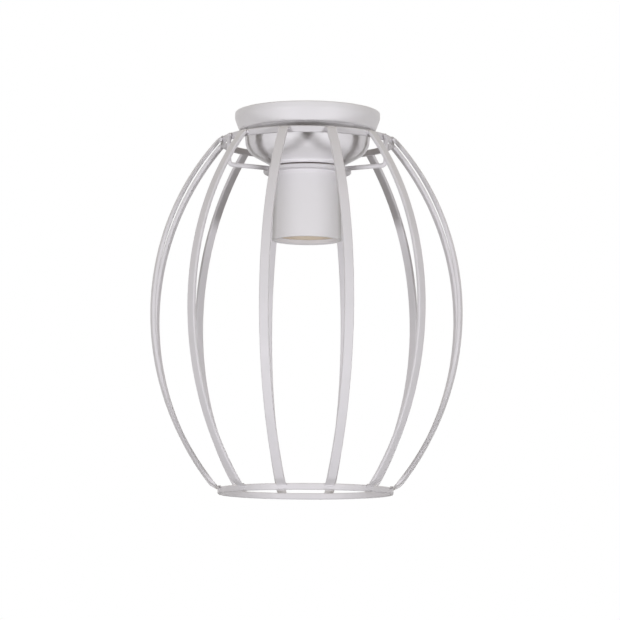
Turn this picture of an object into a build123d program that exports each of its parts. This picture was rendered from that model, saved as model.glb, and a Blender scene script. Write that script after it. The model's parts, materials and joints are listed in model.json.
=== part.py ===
from build123d import *
import math
import os

# Barrel cage lamp shade on a ceiling lampholder. Millimetres, +Z up.
# The origin is the centre of the face that lies against the ceiling, and the room is below it.
# The front of the cage, midway between two ribs, faces -Y.

# Cage of flat bar
belly_radius = 104.5          # outer face of the ribs, half way down
ring_radius = 57.5            # outer face of both rings
ring_height = 4.2
ring_thickness = 2.5
ring_spacing = 230.5          # between the middle planes of the two rings
rib_count = 12
rib_width = 6.2
rib_thickness = 2.5

# Wire spider
arm_count = 3
wire_diameter = 3.0
wire_bend = 3.0               # centre line of the bend
leg_rise = 19.2               # from the arm's centre line up to the top ring's middle plane
leg_past_middle = 0.5         # how far the leg runs on above that plane
spider_width = 8.75           # from the spider's hole to its rim
spider_thickness = 2.5
spider_edge = 0.5
spider_clearance = 0.25       # between the spider's hole and the sleeve

# Ceiling base
flange_height = 12.5
flange_band = 4.4             # upright part of the flange's side, next to the ceiling
flange_foot_wall = 2.4        # wall at the flange's lower edge
flange_flare = 3.1            # how much wider the flange is at the band than at its lower edge
flange_round = 1.0            # edge at the ceiling
flange_bend_round = 6.0       # between the band and the taper
flange_foot_round = 1.9
plate_thickness = 2.5
cable_entry_radius = 8.0
fixing_spacing = 50.8
fixing_hole_radius = 2.25
fixing_boss_radius = 5.5
fixing_boss_height = 2.0
pillar_radius = 4.5
pilot_spare = 1.0             # empty length of a pillar's hole past the screw's point

# Dome cover
cover_clearance = 0.3         # between the cover's rim and the base's bore
cover_rim_radius = 42.2
cover_rim_depth = 11.1
cover_draft = 2.0             # how much the side draws in from the rim to the corner
cover_corner_depth = 26.1     # where the side meets the cone, before rounding
cover_corner_round = 11.0
cover_cone_angle = 29.0
cover_wall = 2.4
neck_height = 2.1
neck_fillet = 1.6
neck_reveal = 1.5             # shadow gap between the neck and the spider

# Lampholder
body_clearance = 0.2          # between the insert's shoulder and the neck's bore
body_wall = 3.2
ear_lift = 4.5                # from the cover's corner up to the ears' upper face
ear_thickness = 3.5
ear_edge = 0.5                # how far an ear reaches past its pillar
shoulder_ledge = 2.4          # step that the spider is clamped against
sleeve_radius = 20.0
sleeve_wall = 2.2
septum_thickness = 5.0
socket_depth = 31.0           # from the sleeve's mouth to the floor of the socket
mouth_recess = 3.0            # from the skirt's mouth up to the sleeve's mouth
skirt_length = 44.6
skirt_wall = 2.7
skirt_top_wall = 1.8
skirt_bevel_height = 3.0
skirt_bevel_inset = 0.35
skirt_lip_height = 1.6
skirt_lip_proud = 0.25
skirt_clearance = 0.3
skirt_mouth_chamfer = 0.9

# Metal of the socket
shell_bore = 26.6
shell_wall = 0.4
shell_length = 25.0
throat_step = 0.7             # how much narrower the shell is around the centre contact
throat_room = 1.0             # from the leaf's lowest point down to the wide part of the shell
leaf_width = 5.0
leaf_thickness = 0.5
leaf_foot = 4.4
leaf_drop = 4.0
leaf_tip = 2.5
leaf_tip_rise = 0.8
contact_gap = 2.0             # air between the sides of the leaf and the shell's floor
contact_end_gap = 1.2         # air past the ends of the leaf's foot
terminal_radius = 8.5
terminal_side = 7.0
terminal_height = 9.0
terminal_bore = 3.4
rivet_radius = 1.2
rivet_head_radius = 2.0
rivet_head_height = 1.0
rivet_seat = 2.0              # depth of the rivet's end in the terminal
screw_fit = 0.05              # around rivets and screws
clamp_screw_radius = 1.5
clamp_head_radius = 2.6
clamp_head_height = 1.8
body_screw_radius = 1.6
body_screw_head_radius = 3.3
body_screw_head_height = 2.0
body_screw_length = 14.0
body_screw_room = 0.3         # between the screw's head and the insert's side
screw_slot = 0.8
screw_slot_depth = 0.9

# Radii that follow from the sizes above
base_bore = cover_rim_radius + cover_clearance
flange_foot_radius = base_bore + flange_foot_wall
flange_radius = flange_foot_radius + flange_flare
cover_corner_radius = cover_rim_radius - cover_draft
shoulder_radius = sleeve_radius + shoulder_ledge
neck_radius = shoulder_radius + body_clearance + cover_wall
well_radius = shoulder_radius - body_wall
pillar_spread = shoulder_radius + body_screw_room + body_screw_head_radius
spider_hole = sleeve_radius + spider_clearance
spider_radius = spider_hole + spider_width
skirt_bore = sleeve_radius + skirt_clearance
skirt_radius = skirt_bore + skirt_wall
skirt_top_radius = skirt_bore + skirt_top_wall
wire_radius = wire_diameter / 2
leg_radius = ring_radius + wire_radius
shell_radius = shell_bore / 2
throat_radius = shell_radius - throat_step

# Heights that follow from the sizes above
cone_end = -(cover_corner_depth
             + (cover_corner_radius - neck_radius) * math.tan(math.radians(cover_cone_angle)))
neck_end = cone_end - neck_height
shoulder = neck_end - neck_reveal
spider_middle = shoulder - spider_thickness / 2
spider_underside = shoulder - spider_thickness
skirt_mouth = spider_underside - skirt_length
sleeve_mouth = skirt_mouth + mouth_recess
socket_floor = sleeve_mouth + socket_depth
septum_top = socket_floor + septum_thickness
throat_end = socket_floor - leaf_drop - leaf_thickness - throat_room
ear_top = ear_lift - cover_corner_depth
ear_underside = ear_top - ear_thickness
top_ring_middle = spider_middle + leg_rise
rib_middle = top_ring_middle - ring_spacing / 2
bottom_ring_middle = top_ring_middle - ring_spacing

# The inner face of a rib is an arc whose ends meet the outer faces of the two rings.
rib_sagitta = belly_radius - rib_thickness - ring_radius
rib_inner_arc = (rib_sagitta**2 + (ring_spacing / 2)**2) / (2 * rib_sagitta)
rib_arc_centre = belly_radius - rib_thickness - rib_inner_arc
rib_half_angle = math.degrees(math.asin(ring_spacing / 2 / rib_inner_arc))

os.makedirs("parts", exist_ok=True)


def write(piece, name):
    """Name a finished piece and write it to its own file."""
    piece.part.label = name
    export_step(piece.part, f"parts/{name}.step")


def polar(radius, angle, height):
    """The point at this radius, angle and height."""
    turn = math.radians(angle)
    return (radius * math.cos(turn), radius * math.sin(turn), height)


def slotted_screw(shank_radius, shank_length, head_radius, head_height):
    """A slotted screw whose head sits on z = 0 and whose shank runs down to a blunt point."""
    with BuildPart(mode=Mode.PRIVATE) as screw:
        with BuildSketch(Plane.XZ):
            with BuildLine():
                Polyline(
                    (0, head_height),
                    (head_radius, head_height),
                    (head_radius, 0),
                    (shank_radius, 0),
                    (shank_radius, shank_radius - shank_length),
                    (0, -shank_length),
                    close=True,
                )
            make_face()
        revolve(axis=Axis.Z)
        with Locations((0, 0, head_height)):
            Box(2 * head_radius, screw_slot, 2 * screw_slot_depth, mode=Mode.SUBTRACT)
    return screw.part


# Rings: flat band on edge
def flat_ring(middle):
    """A band of the rings' section around the axis, centred on this height."""
    with BuildPart(mode=Mode.PRIVATE) as ring:
        with BuildSketch(Plane.XZ):
            with Locations((ring_radius - ring_thickness / 2, middle)):
                Rectangle(ring_thickness, ring_height)
        revolve(axis=Axis.Z)
    return ring.part


for ring_name, ring_middle in (("top_ring", top_ring_middle), ("bottom_ring", bottom_ring_middle)):
    with BuildPart() as ring:
        add(flat_ring(ring_middle))
    write(ring, ring_name)

# Ribs: flat bar on one arc, cut square, standing on the outside of the rings
lower_end = Plane(
    origin=(rib_arc_centre, 0, rib_middle),
    x_dir=polar(1, 0, -math.tan(math.radians(rib_half_angle))),
    z_dir=polar(math.tan(math.radians(rib_half_angle)), 0, 1),
)
with BuildPart() as bent_bar:
    with BuildSketch(lower_end):
        with Locations((rib_inner_arc + rib_thickness / 2, 0)):
            Rectangle(rib_thickness, rib_width)
    revolve(axis=Axis(lower_end.origin, (0, -1, 0)), revolution_arc=2 * rib_half_angle)

rib_pitch = 360 / rib_count
front = -90
for number in range(rib_count):
    with BuildPart() as rib:
        add(bent_bar.part, rotation=(0, 0, front + (number + 0.5) * rib_pitch))
    write(rib, f"rib_{number + 1:02d}")

# Spider: a washer over the sleeve, carried by bent wires from the top ring
with BuildPart() as spider_ring:
    with BuildSketch(Plane.XY.offset(spider_underside)):
        Circle(spider_radius)
        Circle(spider_hole, mode=Mode.SUBTRACT)
    extrude(amount=spider_thickness)
    spider_rim = spider_ring.faces().filter_by(GeomType.CYLINDER).sort_by(SortBy.AREA)[-1]
    chamfer(spider_rim.edges(), spider_edge)
write(spider_ring, "spider_ring")

with BuildPart() as bent_wire:
    with BuildLine(Plane.XZ) as wire_path:
        FilletPolyline(
            (leg_radius, top_ring_middle + leg_past_middle),
            (leg_radius, spider_middle),
            (spider_radius, spider_middle),
            radius=wire_bend,
        )
    with BuildSketch(Plane(wire_path.line @ 0, z_dir=wire_path.line % 0)):
        Circle(wire_radius)
    sweep()

for number in range(arm_count):
    gap_between_ribs = round((number + 0.5) * rib_count / arm_count)
    with BuildPart() as spider_arm:
        add(bent_wire.part, rotation=(0, 0, front + gap_between_ribs * rib_pitch))
    write(spider_arm, f"spider_arm_{number + 1}")

# Ceiling base: a shallow pan with a cable entry, two fixing holes and two pillars for the insert
fixing_places = [(fixing_spacing / 2, 0), (-fixing_spacing / 2, 0)]
pillar_places = [(0, pillar_spread), (0, -pillar_spread)]
with BuildPart() as ceiling_base:
    with BuildSketch(Plane.XZ) as pan_section:
        with BuildLine():
            Polyline(
                (0, 0),
                (flange_radius, 0),
                (flange_radius, -flange_band),
                (flange_foot_radius, -flange_height),
                (base_bore, -flange_height),
                (base_bore, -plate_thickness),
                (0, -plate_thickness),
                close=True,
            )
        make_face()
        ceiling_corner = pan_section.vertices().sort_by_distance((flange_radius, 0))[0]
        fillet(ceiling_corner, flange_round)
        band_corner = pan_section.vertices().sort_by_distance((flange_radius, -flange_band))[0]
        fillet(band_corner, flange_bend_round)
        foot_corner = pan_section.vertices().sort_by_distance((flange_foot_radius, -flange_height))[0]
        fillet(foot_corner, min(flange_foot_round, flange_foot_wall * 0.8))
    revolve(axis=Axis.Z)
    with BuildSketch(Plane.XY.offset(-plate_thickness)):
        with Locations(*fixing_places):
            Circle(fixing_boss_radius)
    extrude(amount=-fixing_boss_height)
    with BuildSketch(Plane.XY.offset(-plate_thickness)):
        with Locations(*pillar_places):
            Circle(pillar_radius)
    extrude(amount=plate_thickness + ear_top)
    with BuildSketch():
        Circle(cable_entry_radius)
        with Locations(*fixing_places):
            Circle(fixing_hole_radius)
    extrude(amount=-plate_thickness - fixing_boss_height, mode=Mode.SUBTRACT)
    with BuildSketch(Plane.XY.offset(ear_top)):
        with Locations(*pillar_places):
            Circle(body_screw_radius + screw_fit)
    extrude(amount=body_screw_length - ear_thickness + pilot_spare, mode=Mode.SUBTRACT)
write(ceiling_base, "ceiling_base")

# Dome cover: a bowl with a coned bottom and a short neck, one moulding of even wall
with BuildPart() as dome_cover:
    with BuildSketch(Plane.XZ) as cover_section:
        with BuildLine():
            Polyline(
                (cover_rim_radius, -plate_thickness),
                (cover_rim_radius, -cover_rim_depth),
                (cover_corner_radius, -cover_corner_depth),
                (neck_radius, cone_end),
                (neck_radius, neck_end),
            )
            offset(amount=cover_wall, side=Side.RIGHT, kind=Kind.INTERSECTION)
        make_face()
        corner = (cover_corner_radius, -cover_corner_depth)
        fillet(cover_section.vertices().sort_by_distance(corner)[1], cover_corner_round - cover_wall)
        fillet(cover_section.vertices().sort_by_distance(corner)[0], cover_corner_round)
        neck_root = cover_section.vertices().sort_by_distance((neck_radius, cone_end))[0]
        fillet(neck_root, min(neck_fillet, neck_height * 0.9))
    revolve(axis=Axis.Z)
write(dome_cover, "dome_cover")

# Insert: a sleeve with a floor, a shoulder in the cover's neck and two ears on the base's pillars
terminal_angles = {"active": 0, "neutral": 90, "loop": 180}
spare_rivet_angle = 270
rivet_angles = (*terminal_angles.values(), spare_rivet_angle)
rivet_places = [polar(terminal_radius, angle, 0) for angle in rivet_angles]
with BuildPart() as lampholder_body:
    with BuildSketch(Plane.XZ):
        with BuildLine():
            Polyline(
                (0, septum_top),
                (well_radius, septum_top),
                (well_radius, ear_top),
                (shoulder_radius, ear_top),
                (shoulder_radius, shoulder),
                (sleeve_radius, shoulder),
                (sleeve_radius, sleeve_mouth),
                (sleeve_radius - sleeve_wall, sleeve_mouth),
                (sleeve_radius - sleeve_wall, socket_floor),
                (0, socket_floor),
                close=True,
            )
        make_face()
    revolve(axis=Axis.Z)
    with BuildSketch(Plane.XY.offset(ear_top)):
        SlotCenterToCenter(2 * pillar_spread, 2 * (pillar_radius + ear_edge), rotation=90)
        Circle(well_radius, mode=Mode.SUBTRACT)
    extrude(amount=-ear_thickness)
    with BuildSketch(Plane.XY.offset(ear_top)):
        with Locations(*pillar_places):
            Circle(body_screw_radius + screw_fit)
    extrude(amount=-ear_thickness, mode=Mode.SUBTRACT)
    with BuildSketch(Plane.XY.offset(septum_top)):
        with Locations(*rivet_places):
            Circle(rivet_radius + screw_fit)
    extrude(amount=-septum_thickness, mode=Mode.SUBTRACT)
write(lampholder_body, "lampholder_body")

# Skirt: a tube that screws up the sleeve and clamps the spider against the insert's shoulder
with BuildPart() as lampholder_skirt:
    with BuildSketch(Plane.XZ):
        with BuildLine():
            Polyline(
                (skirt_bore, spider_underside),
                (skirt_top_radius - skirt_bevel_inset, spider_underside),
                (skirt_top_radius, spider_underside - skirt_bevel_height),
                (skirt_radius - skirt_lip_proud, skirt_mouth + skirt_lip_height),
                (skirt_radius, skirt_mouth + skirt_lip_height),
                (skirt_radius, skirt_mouth),
                (skirt_bore, skirt_mouth),
                close=True,
            )
        make_face()
    revolve(axis=Axis.Z)
    mouth_edges = lampholder_skirt.edges().group_by(Axis.Z)[0].sort_by(SortBy.LENGTH)
    chamfer(mouth_edges[0], skirt_mouth_chamfer)
    chamfer(mouth_edges[-1], skirt_lip_height / 4)
write(lampholder_skirt, "lampholder_skirt")

# Screw shell: a drawn brass cup with a throat, on the insert's floor and slotted for the centre contact
with BuildPart() as screw_shell:
    with BuildSketch(Plane.XZ):
        with BuildLine():
            Polyline(
                (0, socket_floor),
                (throat_radius + shell_wall, socket_floor),
                (throat_radius + shell_wall, throat_end + shell_wall),
                (shell_radius + shell_wall, throat_end + shell_wall),
                (shell_radius + shell_wall, socket_floor - shell_length),
                (shell_radius, socket_floor - shell_length),
                (shell_radius, throat_end),
                (throat_radius, throat_end),
                (throat_radius, socket_floor - shell_wall),
                (0, socket_floor - shell_wall),
                close=True,
            )
        make_face()
    revolve(axis=Axis.Z)
    with BuildSketch(Plane.XY.offset(socket_floor)):
        RectangleRounded(
            2 * terminal_radius + leaf_foot + 2 * contact_end_gap,
            leaf_width + 2 * contact_gap,
            contact_gap,
        )
        with Locations(polar(terminal_radius, 90, 0), polar(terminal_radius, spare_rivet_angle, 0)):
            Circle(rivet_radius + screw_fit)
    extrude(amount=-shell_wall, mode=Mode.SUBTRACT)
write(screw_shell, "screw_shell")

# Centre contact: a brass leaf riveted beside the axis and bent down to meet the lamp's tip
with BuildPart() as centre_contact:
    with BuildSketch(Plane.XZ):
        with BuildLine():
            Polyline(
                (terminal_radius + leaf_foot / 2, socket_floor),
                (terminal_radius - leaf_foot / 2, socket_floor),
                (0, socket_floor - leaf_drop),
                (-leaf_tip, socket_floor - leaf_drop + leaf_tip_rise),
            )
            offset(amount=leaf_thickness, side=Side.LEFT)
        make_face()
    extrude(amount=leaf_width / 2, both=True)
    with BuildSketch(Plane.XY.offset(socket_floor)):
        with Locations((terminal_radius, 0)):
            Circle(rivet_radius + screw_fit)
    extrude(amount=-leaf_thickness, mode=Mode.SUBTRACT)
write(centre_contact, "centre_contact")

# Terminals: brass blocks on the insert's floor, with a bore for the wire and a tapped hole above it
with BuildPart() as terminal:
    with BuildSketch(Plane.XY.offset(septum_top)):
        with Locations((terminal_radius, 0)):
            Rectangle(terminal_side, terminal_side)
    extrude(amount=terminal_height)
    chamfer(terminal.edges().filter_by(Axis.Z), terminal_side / 12)
    with BuildSketch(Plane.YZ.offset(terminal_radius - terminal_side / 2)):
        with Locations((0, septum_top + terminal_height / 2)):
            Circle(terminal_bore / 2)
    extrude(amount=terminal_side, mode=Mode.SUBTRACT)
    with BuildSketch(Plane.XY.offset(septum_top + terminal_height)):
        with Locations((terminal_radius, 0)):
            Circle(clamp_screw_radius + screw_fit)
    extrude(amount=-terminal_height / 2, mode=Mode.SUBTRACT)
    with BuildSketch(Plane.XY.offset(septum_top)):
        with Locations((terminal_radius, 0)):
            Circle(rivet_radius + screw_fit)
    extrude(amount=rivet_seat, mode=Mode.SUBTRACT)

for terminal_name, angle in terminal_angles.items():
    with BuildPart() as placed_terminal:
        add(terminal.part, rotation=(0, 0, angle))
    write(placed_terminal, f"{terminal_name}_terminal")

# Rivets: each goes up through the floor, into a terminal or to a head of its own
with BuildPart() as contact_rivets:
    under_leaf = socket_floor - leaf_thickness
    under_shell = socket_floor - shell_wall
    for place, seat in zip(rivet_places, (under_leaf, under_shell, socket_floor, under_shell)):
        with Locations((place[0], place[1], seat)):
            Cylinder(rivet_head_radius, rivet_head_height, align=(Align.CENTER, Align.CENTER, Align.MAX))
            Cylinder(
                rivet_radius,
                septum_top - seat,
                align=(Align.CENTER, Align.CENTER, Align.MIN),
            )
    with BuildSketch(Plane.XY.offset(septum_top)):
        with Locations(*rivet_places[:-1]):
            Circle(rivet_radius)
    extrude(amount=rivet_seat)
    with BuildSketch(Plane.XY.offset(septum_top)):
        with Locations(rivet_places[-1]):
            Circle(rivet_head_radius)
    extrude(amount=rivet_head_height)
write(contact_rivets, "contact_rivets")

# Screws: three clamp the wires, two hold the insert up against the base's pillars
clamp_screw = slotted_screw(clamp_screw_radius, terminal_height / 2, clamp_head_radius, clamp_head_height)
with BuildPart() as terminal_screws:
    for angle in terminal_angles.values():
        with Locations(polar(terminal_radius, angle, septum_top + terminal_height)):
            add(clamp_screw)
write(terminal_screws, "terminal_screws")

body_screw = slotted_screw(
    body_screw_radius, body_screw_length, body_screw_head_radius, body_screw_head_height)
with BuildPart() as body_screws:
    for place in pillar_places:
        with Locations((*place, ear_underside)):
            add(body_screw, rotation=(180, 0, 0))
write(body_screws, "body_screws")
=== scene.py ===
# %% [markdown]
# # A barrel cage lamp shade, dressed for its picture
# The lamp is a white cage of flat steel bars, hung by a wire spider from a ceiling lampholder. The CAD
# solids already have the right sizes, so this lesson only adds what a workshop adds: rounded bar edges,
# weld beads, a rolled thread, and the finishes. Everything is in metres, in the frame of the CAD model:
# the ceiling is z = 0, the room is below it, and the front of the lamp looks along -Y.

# %% Load the CAD model
import json
import math

import bpy
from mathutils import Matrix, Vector


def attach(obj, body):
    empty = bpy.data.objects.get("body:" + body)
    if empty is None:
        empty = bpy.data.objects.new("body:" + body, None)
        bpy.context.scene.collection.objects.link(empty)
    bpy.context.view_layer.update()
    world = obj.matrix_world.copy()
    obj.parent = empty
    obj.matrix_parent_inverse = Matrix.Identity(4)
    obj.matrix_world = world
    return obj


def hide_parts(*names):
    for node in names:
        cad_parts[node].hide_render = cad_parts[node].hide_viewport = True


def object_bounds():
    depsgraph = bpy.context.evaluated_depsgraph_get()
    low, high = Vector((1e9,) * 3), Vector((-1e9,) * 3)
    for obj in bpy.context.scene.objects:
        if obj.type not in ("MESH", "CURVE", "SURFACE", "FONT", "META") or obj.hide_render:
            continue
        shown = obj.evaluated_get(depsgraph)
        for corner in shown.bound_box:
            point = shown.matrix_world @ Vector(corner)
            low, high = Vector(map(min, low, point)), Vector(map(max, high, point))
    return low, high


MM = 0.001
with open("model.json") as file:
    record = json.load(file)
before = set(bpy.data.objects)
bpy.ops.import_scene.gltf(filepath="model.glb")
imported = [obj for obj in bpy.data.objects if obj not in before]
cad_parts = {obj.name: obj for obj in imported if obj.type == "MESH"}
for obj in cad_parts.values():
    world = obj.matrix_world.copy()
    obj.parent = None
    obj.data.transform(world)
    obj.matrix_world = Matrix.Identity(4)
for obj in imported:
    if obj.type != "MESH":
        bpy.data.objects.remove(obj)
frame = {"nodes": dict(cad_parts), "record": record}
nodes = frame["nodes"]
scene = bpy.context.scene
scene.view_settings.view_transform = "Standard"
cad_low, cad_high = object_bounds()
print("CAD box in mm:", [round(v / MM, 1) for v in (*cad_low, *cad_high)])

# %% [markdown]
# ## Reading sizes off the solids
# A dressed piece has to sit exactly where its solid is. Sizes could be typed in a second time, but then
# the two models drift apart as soon as one changes. Here they are measured on the loaded meshes: how far
# a piece lies from the lamp's axis, how high it is, and how wide a bar is across its own direction.

# %% Ways to measure a piece


def corners_of(name):
    """The places of all corners of a solid."""
    return [v.co for v in nodes[name].data.vertices]


def reach(name):
    """Smallest and largest distance from the lamp's axis, then the lowest and highest point."""
    distances = [math.hypot(p.x, p.y) for p in corners_of(name)]
    heights = [p.z for p in corners_of(name)]
    return min(distances), max(distances), min(heights), max(heights)


def turn_of(name):
    """Angle round the lamp's axis at which this piece stands."""
    return math.atan2(sum(p.y for p in corners_of(name)), sum(p.x for p in corners_of(name)))


def width_of(name):
    """Width of a piece across the direction in which it stands."""
    turn = turn_of(name)
    return 2 * max(abs(p.y * math.cos(turn) - p.x * math.sin(turn)) for p in corners_of(name))


# %% Measure rings and ribs
ring_inner, ring_outer, top_low, top_high = reach("top_ring")
bottom_low, bottom_high = reach("bottom_ring")[2:]
bar_thickness = ring_outer - ring_inner
ring_height = top_high - top_low
top_middle = (top_low + top_high) / 2
bottom_middle = (bottom_low + bottom_high) / 2

rib_names = sorted(name for name in nodes if name.startswith("rib_"))
first_rib = turn_of(rib_names[0])
rib_width = width_of(rib_names[0])
rib_reach, rib_low, rib_high = reach(rib_names[0])[1:]
rib_middle = (rib_low + rib_high) / 2
belly = math.sqrt(rib_reach ** 2 - (rib_width / 2) ** 2)
print("bars:", len(rib_names), "of", round(rib_width / MM, 2), "x", round(bar_thickness / MM, 2), "mm")

# %% [markdown]
# ## The camera
# The picture was taken from about two metres away with a long lens, a little below the lamp and looking up,
# which is why the lower ring shows as a thin ellipse and the flange is seen from underneath. A long lens
# keeps the bars nearly parallel, so distance and focal length are both set, not just the framing.

# %% Place the camera
camera_distance = 2.11
camera_height = -0.3731
looking_up, roll, turned_aside = 96.538, -0.3, -0.097
camera_data = bpy.data.cameras.new("camera")
camera_data.sensor_width = 36.0
camera_data.lens = 187.5
camera = bpy.data.objects.new("camera", camera_data)
camera.location = (0.0, -camera_distance, camera_height)
camera.rotation_euler = [math.radians(angle) for angle in (looking_up, roll, turned_aside)]
scene.collection.objects.link(camera)
scene.camera = camera
print("camera lens", camera_data.lens, "mm at", [round(v, 3) for v in camera.location])

# %% [markdown]
# ## One way of adding nodes
# Shaders and Geometry Nodes are both trees of nodes joined by links. Typing three lines for every node
# hides the idea of a tree, so one helper adds a node, sets its properties and fills its inputs, either
# with a value or with the output of an earlier node. Three short helpers stand on it for the nodes that
# are used most: a sum or other piece of arithmetic, a mix of two colours, and a vector made of its parts.

# %% Helpers for every node tree


def node(tree, kind, inputs=None, **settings):
    """Add a node. Inputs are given by name or number, as values or as sockets of other nodes."""
    made = tree.nodes.new(kind)
    for name, value in settings.items():
        setattr(made, name, value)
    for key, value in (inputs or {}).items():
        if isinstance(value, bpy.types.NodeSocket):
            tree.links.new(value, made.inputs[key])
        else:
            made.inputs[key].default_value = value
    return made


def maths(tree, operation, *terms):
    """The output of one Math node."""
    return node(tree, "ShaderNodeMath", dict(enumerate(terms)), operation=operation).outputs[0]


def colour_mix(tree, share, first, second):
    """A mix of two colours. A Mix node has its colours on inputs 6 and 7, and their mix on output 2."""
    return node(tree, "ShaderNodeMix", {0: share, 6: first, 7: second}, data_type="RGBA").outputs[2]


def vector_of(tree, **parts):
    """A vector made of its X, Y and Z."""
    return node(tree, "ShaderNodeCombineXYZ", parts).outputs[0]


# %% [markdown]
# ## Light, floor and background
# White metal on a white ground is shaped by its shadows. On the dome of the holder, the shadows of the two
# front bars cross in one dark spot and fan out below it, and the ring throws a dark strip under the flange.
# Only two small lamps, one on each side of the camera and below the cage, can do that, and the angles
# follow from where the shadows fall. Large soft boxes would be easier, but they wash the spot out. The
# world and the floor are white to the camera and in reflections, but give matt surfaces only a quiet,
# warm fill from above, from the sides and from behind, so the background stays white, the far bars stay
# grey, and the back of the lamp isn't black when someone walks round it.

# %% Tell seen light from scattered light


def seen_directly(tree):
    """One for rays from the camera, a reflection or glass, and zero for scattered light."""
    path = node(tree, "ShaderNodeLightPath").outputs
    direct = maths(tree, "MAXIMUM", path["Is Camera Ray"], path["Is Glossy Ray"])
    return maths(tree, "MAXIMUM", direct, path["Is Transmission Ray"])


# %% A white room with a quiet fill
plain_white = (1.0, 1.0, 1.0, 1.0)
warm_white = (1.0, 0.965, 0.86, 1.0)
full_slant = 0.9
world = bpy.data.worlds.new("studio")
scene.world = world
world.use_nodes = True
sky = world.node_tree
sky.nodes.clear()
direction = node(sky, "ShaderNodeTexCoord").outputs["Generated"]
towards = node(sky, "ShaderNodeSeparateXYZ", {0: direction}).outputs


def fill_from(way, start, strength):
    """Fill that begins at this slant towards one side of the room and grows to its full strength."""
    return node(sky, "ShaderNodeMapRange", {
        "Value": way, "From Min": start, "From Max": full_slant, "To Max": strength}).outputs["Result"]


from_above = fill_from(towards["Z"], start=0.5, strength=1.0)
from_sides = fill_from(maths(sky, "ABSOLUTE", towards["X"]), start=0.6, strength=0.35)
from_behind = fill_from(towards["Y"], start=0.1, strength=0.7)
glow = maths(sky, "ADD", maths(sky, "ADD", from_above, from_sides), from_behind)
fill = node(sky, "ShaderNodeBackground", {"Color": warm_white, "Strength": glow})
white = node(sky, "ShaderNodeBackground", {"Color": plain_white, "Strength": 1.0})
either = node(sky, "ShaderNodeMixShader", {0: seen_directly(sky), 1: fill.outputs[0], 2: white.outputs[0]})
node(sky, "ShaderNodeOutputWorld", {"Surface": either.outputs[0]})
print("world:", [n.bl_idname for n in sky.nodes])

# %% A floor well below the lamp
floor_level = -1.5
floor_reach = 90.0
floor_scattered = (0.12, 0.11, 0.1, 1.0)
floor_seen = (0.84, 0.87, 0.93, 1.0)
floor_lift = 0.5
pale = bpy.data.materials.new("pale_floor")
pale.use_nodes = True
matt = pale.node_tree.nodes["Principled BSDF"]
floor_tone = colour_mix(pale.node_tree, seen_directly(pale.node_tree), floor_scattered, floor_seen)
lifted = maths(pale.node_tree, "MULTIPLY", seen_directly(pale.node_tree), floor_lift)
pale.node_tree.links.new(floor_tone, matt.inputs["Base Color"])
pale.node_tree.links.new(lifted, matt.inputs["Emission Strength"])
matt.inputs["Emission Color"].default_value = plain_white
matt.inputs["Roughness"].default_value = 0.9
floor_mesh = bpy.data.meshes.new("floor")
corners = [(floor_reach * x, floor_reach * y, floor_level) for x, y in ((-1, -1), (1, -1), (1, 1), (-1, 1))]
floor_mesh.from_pydata(corners, [], [(0, 1, 2, 3)])
floor_mesh.materials.append(pale)
floor = bpy.data.objects.new("floor", floor_mesh)
scene.collection.objects.link(floor)
print("floor at", floor_level, "m")

# %% The lights
front = -90
to_the_side = 36
elevation = math.radians(-15)
box_distance = 1.8
box_width, box_height = 0.16, 0.3
box_power = 16.2
box_colour = (0.97, 0.98, 1.0)
cage_middle = Vector((0.0, 0.0, (cad_low.z + cad_high.z) / 2))
for name, degrees in (("soft_box_left", front - to_the_side), ("soft_box_right", front + to_the_side)):
    light = bpy.data.lights.new(name, "AREA")
    light.shape = "RECTANGLE"
    light.size = box_width
    light.size_y = box_height
    light.energy = box_power
    light.color = box_colour
    holder = bpy.data.objects.new(name, light)
    azimuth = math.radians(degrees)
    flat = math.cos(elevation) * box_distance
    holder.location = cage_middle + Vector((
        flat * math.cos(azimuth), flat * math.sin(azimuth), box_distance * math.sin(elevation)))
    holder.rotation_euler = (cage_middle - holder.location).to_track_quat("-Z", "Y").to_euler()
    scene.collection.objects.link(holder)

# %% [markdown]
# ## Effects that several finishes share
# Powder coat, moulded plastic and drawn metal all differ, yet each has a slow drift of tone and a fine
# unevenness that breaks up its highlights. Both are written once, as node groups with their own inputs,
# and placed in every material with other values. The groups only give out colours and heights. The
# shader itself stays in the material.

# %% Group: slow drift of tone
drift = bpy.data.node_groups.new("slow_drift", "ShaderNodeTree")
for label, kind in (("Colour", "Color"), ("Second Colour", "Color"), ("Scale", "Float"),
                    ("Roughness Low", "Float"), ("Roughness High", "Float")):
    drift.interface.new_socket(label, in_out="INPUT", socket_type="NodeSocket" + kind)
drift.interface.new_socket("Colour", in_out="OUTPUT", socket_type="NodeSocketColor")
drift.interface.new_socket("Roughness", in_out="OUTPUT", socket_type="NodeSocketFloat")
given = node(drift, "NodeGroupInput").outputs
place = node(drift, "ShaderNodeTexCoord").outputs["Object"]
slow = node(drift, "ShaderNodeTexNoise", {
    "Vector": place, "Scale": given["Scale"], "Detail": 3.0}).outputs["Fac"]
steeper = node(drift, "ShaderNodeMapRange", {
    "Value": slow, "From Min": 0.3, "From Max": 0.7}).outputs["Result"]
tone = colour_mix(drift, steeper, given["Colour"], given["Second Colour"])
gloss = node(drift, "ShaderNodeMapRange", {
    "Value": steeper, "To Min": given["Roughness Low"], "To Max": given["Roughness High"]}).outputs["Result"]
node(drift, "NodeGroupOutput", {"Colour": tone, "Roughness": gloss})
print("group", drift.name, "with", len(drift.nodes), "nodes")

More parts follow.
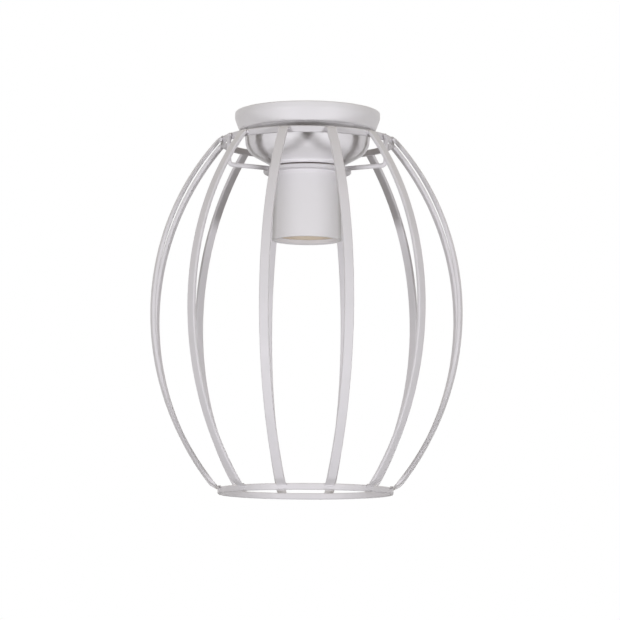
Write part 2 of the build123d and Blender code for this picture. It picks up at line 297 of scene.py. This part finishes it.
# %% Group: fine skin of a coat or moulding
skin = bpy.data.node_groups.new("fine_skin", "ShaderNodeTree")
for label, kind in (("Grain Size", "Float"), ("Waviness Size", "Float"), ("Waviness Share", "Float"),
                    ("Stretch", "Vector")):
    skin.interface.new_socket(label, in_out="INPUT", socket_type="NodeSocket" + kind)
skin.interface.new_socket("Height", in_out="OUTPUT", socket_type="NodeSocketFloat")
given = node(skin, "NodeGroupInput").outputs
place = node(skin, "ShaderNodeTexCoord").outputs["Object"]
stretched = node(skin, "ShaderNodeVectorMath", {
    0: place, 1: given["Stretch"]}, operation="MULTIPLY").outputs[0]


def unevenness_of(size, detail):
    """Noise over the stretched surface, with lumps of this size."""
    return node(skin, "ShaderNodeTexNoise", {
        "Vector": stretched, "Scale": maths(skin, "DIVIDE", 1.0, size), "Detail": detail}).outputs["Fac"]


grain = unevenness_of(given["Grain Size"], detail=2.0)
waves = unevenness_of(given["Waviness Size"], detail=0.0)
both = node(skin, "ShaderNodeMix", {0: given["Waviness Share"], 2: grain, 3: waves}, data_type="FLOAT")
node(skin, "NodeGroupOutput", {"Height": both.outputs[0]})
print("group", skin.name, "with", len(skin.nodes), "nodes")

# %% [markdown]
# ## The finishes
# Each finish is a Principled shader with its own constants, fed by the two groups. Powder coat is sprayed
# dry and melts in an oven, which leaves the soft ripple called orange peel. Mouldings copy a polished
# tool, so they are glossier and flatter. The insert is a heat-proof plastic full of mineral filler. The
# brass is drawn through dies, so its unevenness is stretched one way, and the zinc on the screws is mottled
# in small patches.

# %% Make a finish
bump_strength = 0.6


def finish(name, colour, second, gloss_range, grain, waviness, share, depth,
           stretch=(1, 1, 1), drift_scale=40, **constants):
    """A material whose colour and gloss drift slowly and whose surface has a fine uneven skin."""
    paint = bpy.data.materials.new(name)
    paint.use_nodes = True
    tree = paint.node_tree
    shader = tree.nodes["Principled BSDF"]
    slow = node(tree, "ShaderNodeGroup", {
        "Colour": (*colour, 1), "Second Colour": (*second, 1), "Scale": drift_scale,
        "Roughness Low": gloss_range[0], "Roughness High": gloss_range[1]}, node_tree=drift)
    fine = node(tree, "ShaderNodeGroup", {
        "Grain Size": grain, "Waviness Size": waviness, "Waviness Share": share,
        "Stretch": stretch}, node_tree=skin)
    bump = node(tree, "ShaderNodeBump", {
        "Height": fine.outputs[0], "Strength": bump_strength, "Distance": depth})
    tree.links.new(slow.outputs["Colour"], shader.inputs["Base Color"])
    tree.links.new(slow.outputs["Roughness"], shader.inputs["Roughness"])
    tree.links.new(bump.outputs[0], shader.inputs["Normal"])
    for key, value in constants.items():
        shader.inputs[key.replace("_", " ")].default_value = value
    return paint


# %% Five finishes
powder_coat = finish(
    "white_powder_coat", colour=(0.70, 0.675, 0.705), second=(0.67, 0.65, 0.675), gloss_range=(0.5, 0.6),
    grain=0.5 * MM, waviness=1.8 * MM, share=0.7, depth=0.012 * MM, Specular_IOR_Level=0.3)
moulding = finish(
    "white_moulding", colour=(0.76, 0.74, 0.765), second=(0.74, 0.72, 0.74), gloss_range=(0.42, 0.5),
    grain=0.5 * MM, waviness=4.0 * MM, share=0.7, depth=0.02 * MM, Specular_IOR_Level=0.3)
cream = finish(
    "cream_insert", colour=(0.68, 0.59, 0.49), second=(0.62, 0.53, 0.43), gloss_range=(0.42, 0.55),
    grain=0.25 * MM, waviness=2.0 * MM, share=0.4, depth=0.03 * MM)
brass = finish(
    "drawn_brass", colour=(0.72, 0.53, 0.25), second=(0.62, 0.43, 0.19), gloss_range=(0.24, 0.4),
    grain=0.25 * MM, waviness=1.5 * MM, share=0.3, depth=0.02 * MM, stretch=(1, 1, 0.15), Metallic=1.0)
plated = finish(
    "zinc_plate", colour=(0.62, 0.62, 0.61), second=(0.5, 0.5, 0.48), gloss_range=(0.28, 0.45),
    grain=0.3 * MM, waviness=1.2 * MM, share=0.5, depth=0.02 * MM, drift_scale=300, Metallic=1.0)
print("finishes:", [m.name for m in (powder_coat, moulding, cream, brass, plated)])

# %% [markdown]
# ## Growing a piece from a tree of Geometry Nodes
# What repeats on this lamp, such as bars and welds, is made by Geometry Nodes: one rule, a few named
# sizes, many copies. The tree is put on an empty carrier, its sizes are set by the sockets' identifiers,
# and the result is turned into a plain mesh, because a file for other programs can't hold the tree.

# %% Start and end a tree


def new_tree(name, sizes):
    """An empty tree whose named inputs are these sizes, with an input for the finish."""
    tree = bpy.data.node_groups.new(name, "GeometryNodeTree")
    tree.interface.new_socket("Geometry", in_out="OUTPUT", socket_type="NodeSocketGeometry")
    for label, kind in sizes.items():
        tree.interface.new_socket(label, in_out="INPUT", socket_type="NodeSocket" + kind)
    tree.interface.new_socket("Finish", in_out="INPUT", socket_type="NodeSocketMaterial")
    return tree, node(tree, "NodeGroupInput").outputs


def end_tree(tree, geometry, finish_socket):
    """Real geometry instead of instances, smooth faces, the finish, and the way out."""
    real = node(tree, "GeometryNodeRealizeInstances", {0: geometry}).outputs[0]
    smooth = node(tree, "GeometryNodeSetShadeSmooth", {0: real}).outputs[0]
    painted = node(tree, "GeometryNodeSetMaterial", {0: smooth, "Material": finish_socket}).outputs[0]
    node(tree, "NodeGroupOutput", {0: painted})
    print("tree", tree.name, "with", len(tree.nodes), "nodes")


# %% Put a shape in its place


def put_at(tree, geometry, place, **more):
    """A shape moved to a place. More can give its Rotation or Scale."""
    return node(tree, "GeometryNodeTransform", {
        "Geometry": geometry, "Translation": place, **more}).outputs[0]


def copies_round_axis(tree, geometry, count, first_turn):
    """Copies of a shape, evenly turned round the lamp's axis."""
    points = node(tree, "GeometryNodePoints", {"Count": count}).outputs[0]
    step = maths(tree, "DIVIDE", math.tau, count)
    number = node(tree, "GeometryNodeInputIndex").outputs[0]
    turn = maths(tree, "MULTIPLY_ADD", number, step, first_turn)
    spin = node(tree, "FunctionNodeAxisAngleToRotation", {"Axis": (0, 0, 1), "Angle": turn}).outputs[0]
    return node(tree, "GeometryNodeInstanceOnPoints", {
        "Points": points, "Instance": geometry, "Rotation": spin}).outputs[0]


# %% Run a tree and keep a plain mesh


def grow(tree, name, paint, slot, stands_for=(), **sizes):
    """Run a tree with these sizes and keep the result as a plain piece of the lamp."""
    carrier = bpy.data.objects.new(name + "_carrier", bpy.data.meshes.new(name + "_carrier"))
    scene.collection.objects.link(carrier)
    modifier = carrier.modifiers.new("rule", "NODES")
    modifier.node_group = tree
    values = {label.replace("_", " "): value for label, value in sizes.items()}
    values["Finish"] = paint
    for item in tree.interface.items_tree:
        if item.in_out == "INPUT":
            modifier[item.identifier] = values[item.name]
    crisp = carrier.modifiers.new("flat_sides", "WEIGHTED_NORMAL")
    crisp.weight = 100
    graph = bpy.context.evaluated_depsgraph_get()
    mesh = bpy.data.meshes.new_from_object(carrier.evaluated_get(graph), depsgraph=graph)
    bpy.data.objects.remove(carrier)
    piece = bpy.data.objects.new(name, mesh)
    scene.collection.objects.link(piece)
    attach(piece, "root")
    if stands_for:
        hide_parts(*stands_for)
    print(name, "has", len(mesh.polygons), "faces, box in mm",
          [[round(c / MM, 1) for c in corner] for corner in (piece.bound_box[0], piece.bound_box[6])])


# %% [markdown]
# ## The section of a flat bar
# Flat bar comes from the rolling mill with slightly rounded edges, and the coat rounds them further. A
# bevel on the finished solid could do this, but a bar is easier to think of as a section drawn along a
# line: a rectangle with its corners filleted, swept along a circle for a ring or an arc for a rib.

# %% Sweep a bar section along a curve
edge_round = 0.8 * MM
edge_steps = 3


def bar_along(tree, curve, across, high, rounding):
    """A bar with rounded edges along a curve, its width across measured towards the curve's side."""
    rectangle = node(tree, "GeometryNodeCurvePrimitiveQuadrilateral", {
        "Width": across, "Height": high}).outputs[0]
    section = node(tree, "GeometryNodeFilletCurve", {
        "Curve": rectangle, "Count": edge_steps, "Radius": rounding}, mode="POLY").outputs[0]
    upright = node(tree, "GeometryNodeSetCurveNormal", {"Curve": curve}, mode="Z_UP").outputs[0]
    return node(tree, "GeometryNodeCurveToMesh", {
        "Curve": upright, "Profile Curve": section, "Fill Caps": True}).outputs[0]


# %% Two rings of flat band on edge
ring_steps = 192
ring_tree, given = new_tree("flat_ring", {
    "Radius": "Float", "Height": "Float", "Thickness": "Float", "Edge Round": "Float", "Level": "Float"})
middle_line = maths(ring_tree, "MULTIPLY_ADD", given["Thickness"], -0.5, given["Radius"])
circle = node(ring_tree, "GeometryNodeCurvePrimitiveCircle", {
    "Resolution": ring_steps, "Radius": middle_line}).outputs[0]
band = bar_along(ring_tree, circle, given["Thickness"], given["Height"], given["Edge Round"])
lifted_band = put_at(ring_tree, band, vector_of(ring_tree, Z=given["Level"]))
end_tree(ring_tree, lifted_band, given["Finish"])

for ring_name, level in (("top_ring", top_middle), ("bottom_ring", bottom_middle)):
    grow(ring_tree, ring_name + "_band", powder_coat, "white_powder_coat", [ring_name], Radius=ring_outer,
         Height=ring_height, Thickness=bar_thickness, Edge_Round=edge_round, Level=level)

# %% [markdown]
# ## The bent bars
# All twelve ribs are the same bar, bent to one arc in a jig, so one arc is swept and copied round the
# axis. The arc follows from three sizes: the ring's radius, the belly's radius and the distance between
# the rings. At each end, the welder dressed the bar's outer corner down towards the ring with a grinder.
# A smooth minimum does the same: close to an end the surface can't stand further out than a sloping limit.

# %% A tree for ribs
arc_steps = 200
grinder_softness = 1.0 * MM
rib_tree, given = new_tree("bent_ribs", {
    "Bars": "Int", "First Turn": "Float", "Arc Radius": "Float", "Arc Centre": "Float",
    "Half Angle": "Float", "Level": "Float", "Width": "Float", "Thickness": "Float", "Edge Round": "Float",
    "Flush Radius": "Float", "Flush Top": "Float", "Flush Foot": "Float", "Dressed Slope": "Float"})
arc = node(rib_tree, "GeometryNodeCurveArc", {
    "Resolution": arc_steps, "Radius": given["Arc Radius"],
    "Start Angle": maths(rib_tree, "MULTIPLY", given["Half Angle"], -1.0),
    "Sweep Angle": maths(rib_tree, "MULTIPLY", given["Half Angle"], 2.0)}, mode="RADIUS").outputs[0]
bar = bar_along(rib_tree, arc, given["Thickness"], given["Width"], given["Edge Round"])
stood_up = put_at(rib_tree, bar, vector_of(rib_tree, X=given["Arc Centre"], Z=given["Level"]),
                  Rotation=(math.pi / 2, 0, 0))
position = node(rib_tree, "GeometryNodeInputPosition").outputs[0]
spot = node(rib_tree, "ShaderNodeSeparateXYZ", {0: position}).outputs
below_top = maths(rib_tree, "SUBTRACT", given["Flush Top"], spot["Z"])
above_foot = maths(rib_tree, "SUBTRACT", spot["Z"], given["Flush Foot"])
from_end = maths(rib_tree, "MAXIMUM", maths(rib_tree, "MINIMUM", below_top, above_foot), 0.0)
limit = maths(rib_tree, "MULTIPLY_ADD", from_end, given["Dressed Slope"], given["Flush Radius"])
dressed = maths(rib_tree, "SMOOTH_MIN", spot["X"], limit, grinder_softness)
ground = node(rib_tree, "GeometryNodeSetPosition", {
    "Geometry": stood_up,
    "Position": vector_of(rib_tree, X=dressed, Y=spot["Y"], Z=spot["Z"])}).outputs[0]
all_ribs = copies_round_axis(rib_tree, ground, given["Bars"], given["First Turn"])
end_tree(rib_tree, all_ribs, given["Finish"])

# %% Twelve ribs
sagitta = belly - bar_thickness - ring_outer
half_chord = (top_middle - bottom_middle) / 2
inner_arc = (sagitta ** 2 + half_chord ** 2) / (2 * sagitta)
half_angle = math.asin(half_chord / inner_arc)
grow(rib_tree, "ribs_bent", powder_coat, "white_powder_coat", rib_names, Bars=len(rib_names),
     First_Turn=first_rib, Arc_Radius=inner_arc + bar_thickness / 2,
     Arc_Centre=belly - bar_thickness - inner_arc, Half_Angle=half_angle, Level=rib_middle,
     Width=rib_width, Thickness=bar_thickness, Edge_Round=edge_round,
     Flush_Radius=ring_outer - 0.1 * MM, Flush_Top=top_high, Flush_Foot=bottom_middle + 0.8 * MM,
     Dressed_Slope=2.0)

# %% [markdown]
# ## Weld beads
# Each bar is tacked to its ring where the end face and the ring leave a small wedge. The bead is a drop
# of metal that has run a little past the sides of the bar. A small ball is flattened to that size, set
# in the wedge, copied round the axis, and roughened by a noise that reads its place, so that no two
# beads are alike.

# %% A tree for beads
lump_scale = 450.0
bead_tree, given = new_tree("weld_beads", {
    "Beads": "Int", "First Turn": "Float", "Radius": "Float", "Level": "Float", "Half Size": "Vector",
    "Unevenness": "Float"})
ball = node(bead_tree, "GeometryNodeMeshIcoSphere", {"Radius": 1.0, "Subdivisions": 4}).outputs[0]
bead = put_at(bead_tree, ball, vector_of(bead_tree, X=given["Radius"], Z=given["Level"]),
              Scale=given["Half Size"])
row = copies_round_axis(bead_tree, bead, given["Beads"], given["First Turn"])
real_row = node(bead_tree, "GeometryNodeRealizeInstances", {0: row}).outputs[0]
lumps = node(bead_tree, "ShaderNodeTexNoise", {"Scale": lump_scale, "Detail": 1.0}).outputs["Fac"]
swell = maths(bead_tree, "MULTIPLY", maths(bead_tree, "SUBTRACT", lumps, 0.5), given["Unevenness"])
outwards = node(bead_tree, "GeometryNodeInputNormal").outputs[0]
offset = node(bead_tree, "ShaderNodeVectorMath", {0: outwards, "Scale": swell}, operation="SCALE").outputs[0]
uneven = node(bead_tree, "GeometryNodeSetPosition", {"Geometry": real_row, "Offset": offset}).outputs[0]
end_tree(bead_tree, uneven, given["Finish"])

# %% Measure the spider and its wires
arm_names = sorted(name for name in nodes if name.startswith("spider_arm_"))
first_arm = turn_of(arm_names[0])
wire = width_of(arm_names[0])
wire_outer = reach(arm_names[0])[1]
spider_outer, spider_low, spider_high = reach("spider_ring")[1:]
print("wires:", len(arm_names), "of", round(wire / MM, 2), "mm")

# %% Beads at every joint
bead_unevenness = 0.15 * MM
half_rib = rib_width / 2 / MM


def beads(name, count, first_turn, radius, level, half_size):
    """One ring of weld beads, with half of their depth, width and height in millimetres."""
    grow(bead_tree, name, powder_coat, "white_powder_coat", Beads=count, First_Turn=first_turn,
         Radius=radius, Level=level, Half_Size=Vector(half_size) * MM, Unevenness=bead_unevenness)


beads("rib_welds_top", len(rib_names), first_rib, radius=ring_outer + 0.2 * MM,
      level=top_middle + 0.4 * MM, half_size=(1.4, half_rib + 0.8, 1.7))
beads("rib_welds_bottom", len(rib_names), first_rib, radius=ring_outer,
      level=bottom_middle + 1.0 * MM, half_size=(0.5, half_rib + 0.5, 1.1))
beads("rib_tacks_bottom", len(rib_names), first_rib, radius=ring_outer + 0.4 * MM,
      level=bottom_high - 0.1 * MM, half_size=(1.0, half_rib * 0.9, 0.9))
beads("leg_welds", len(arm_names), first_arm, radius=wire_outer - wire * 0.62,
      level=top_middle, half_size=(1.1, wire * 0.72 / MM, 1.8))
beads("arm_welds", len(arm_names), first_arm, radius=spider_outer + 0.3 * MM,
      level=(spider_low + spider_high) / 2, half_size=(1.6, wire * 0.8 / MM, 1.2))

# %% [markdown]
# ## The rolled thread of the lamp socket
# The thread in a brass lamp socket isn't cut. It is rolled into thin sheet, so it looks like a rounded
# rope inside the shell. A spiral curve with a round section gives that ridge, at the pitch of seven
# turns to the inch that lamps with a 27 mm cap have.

# %% A tree for the thread
steps_per_turn = 64
rope_sides = 12
thread_tree, given = new_tree("rolled_thread", {
    "Turns": "Float", "Radius": "Float", "Rise": "Float", "Level": "Float", "Rope": "Float"})
spiral = node(thread_tree, "GeometryNodeCurveSpiral", {
    "Resolution": steps_per_turn, "Rotations": given["Turns"], "Start Radius": given["Radius"],
    "End Radius": given["Radius"], "Height": given["Rise"]}).outputs[0]
round_section = node(thread_tree, "GeometryNodeCurvePrimitiveCircle", {
    "Resolution": rope_sides, "Radius": given["Rope"]}).outputs[0]
ridge = node(thread_tree, "GeometryNodeCurveToMesh", {
    "Curve": spiral, "Profile Curve": round_section, "Fill Caps": True}).outputs[0]
lifted_ridge = put_at(thread_tree, ridge, vector_of(thread_tree, Z=given["Level"]))
end_tree(thread_tree, lifted_ridge, given["Finish"])

# %% Thread in the screw shell
inch = 25.4
turns_per_inch = 7
thread_pitch = inch / turns_per_inch * MM
rope = 0.8 * MM
rope_sunk = rope * 0.2
shell_low = reach("screw_shell")[2]
socket = next(m for m in frame["record"]["mounts"] if m["name"] == "lamp_socket")["dims"]
rise = socket["length_mm"] * MM - 2 * rope
grow(thread_tree, "rolled_thread", brass, "brass", Turns=rise / thread_pitch,
     Radius=socket["r_mm"] * MM + rope_sunk, Rise=rise, Level=shell_low + rope, Rope=rope)

# %% [markdown]
# ## Finishes for the solids that stay
# The turned mouldings, the wires and the metal inside the holder already have their true shape, so their
# solids are shown as they are and only get a finish. The record names a slot for each node, and that
# slot chooses the material.

# %% Paint the CAD nodes
by_slot = {"white_powder_coat": powder_coat, "white_moulding": moulding, "cream_insert": cream,
           "brass": brass, "screw_steel": plated}
for part in frame["record"]["subparts"]:
    solid = nodes[part["node"]]
    solid.data.materials.clear()
    solid.data.materials.append(by_slot[part["material_slot"]])
